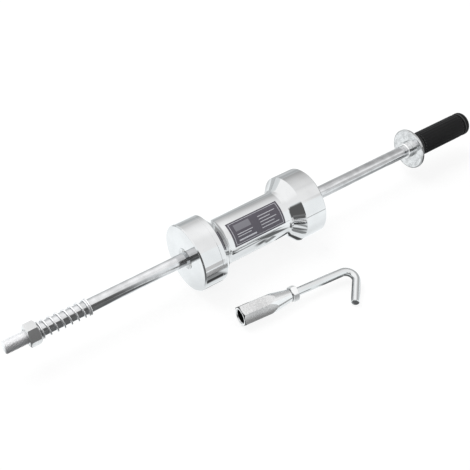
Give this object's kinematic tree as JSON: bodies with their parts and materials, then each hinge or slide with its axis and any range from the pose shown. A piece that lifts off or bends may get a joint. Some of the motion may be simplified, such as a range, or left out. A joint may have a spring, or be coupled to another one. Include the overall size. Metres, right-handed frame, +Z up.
{
  "type": "slide hammer puller",
  "caption": "Slide hammer puller: a spool-shaped hammer on a long shaft with a front thread, buffer spring, guard disc and rubber grip, and a loose screw-on hook.",
  "frame": {"origin": "centre of the shaft's front tip, on the shaft's axis", "axes": "+X along the shaft from its front tip towards the grip, +Z up as the tool lies on its hammer's heads, the loose hook lies on the -Y side"},
  "size_m": [0.676, 0.1863, 0.083],
  "materials": {
    "polished_shaft": "ground and chromed bar",
    "plated_nut": "bright zinc plating",
    "spring_wire": "bright drawn wire",
    "polished_hammer": "turned, polished and chromed",
    "guide_bush": "sintered bush, plain",
    "label_foil": "satin printed foil",
    "guard_plate": "fine turned, plated",
    "grip_rubber": "matte moulded rubber",
    "coupling_steel": "satin plated hexagon bar",
    "plated_rod": "bright plated round bar"
  },
  "bodies": {
    "shaft_assembly": {"shaft": "polished_shaft", "front_nut": "plated_nut", "handle_sleeve": "polished_shaft", "guard_disc": "guard_plate", "rubber_grip": "grip_rubber", "end_washer": "plated_nut", "end_nut": "plated_nut"},
    "spring": {"buffer_spring": "spring_wire"},
    "bushes": {"front_guide_bush": "guide_bush", "rear_guide_bush": "guide_bush"},
    "hammer": {"hammer_body": "polished_hammer", "hammer_label": "label_foil"},
    "coupling": {"hook_coupling": "coupling_steel", "hook_lock_nut": "plated_nut"},
    "hook": {"hook_rod": "plated_rod"}
  },
  "joints": [
    {"name": "spring_squeeze", "type": "slide", "parent": "shaft_assembly", "child": "spring", "axis": [1, 0, 0], "range_m": [-0.038, 0], "stiffness_N_per_m": 3600, "deforming": ["buffer_spring"]},
    {"name": "hammer_slide", "type": "slide", "parent": "shaft_assembly", "child": "bushes", "axis": [1, 0, 0], "range_m": [-0.1248, 0.1658]},
    {"name": "hammer_turn", "type": "hinge", "parent": "bushes", "child": "hammer", "pos_m": [0.3133, 0, 0], "axis": [1, 0, 0], "continuous": true},
    {"name": "hook_lift", "type": "slide", "parent": "shaft_assembly", "child": "coupling", "axis": [0, 0, 1], "range_m": [0, 0.06]},
    {"name": "hook_turn", "type": "hinge", "parent": "coupling", "child": "hook", "pos_m": [0.3186, -0.09515, -0.02938], "axis": [0.9951, -0.0993, 0], "range_deg": [-180, 180]}
  ]
}
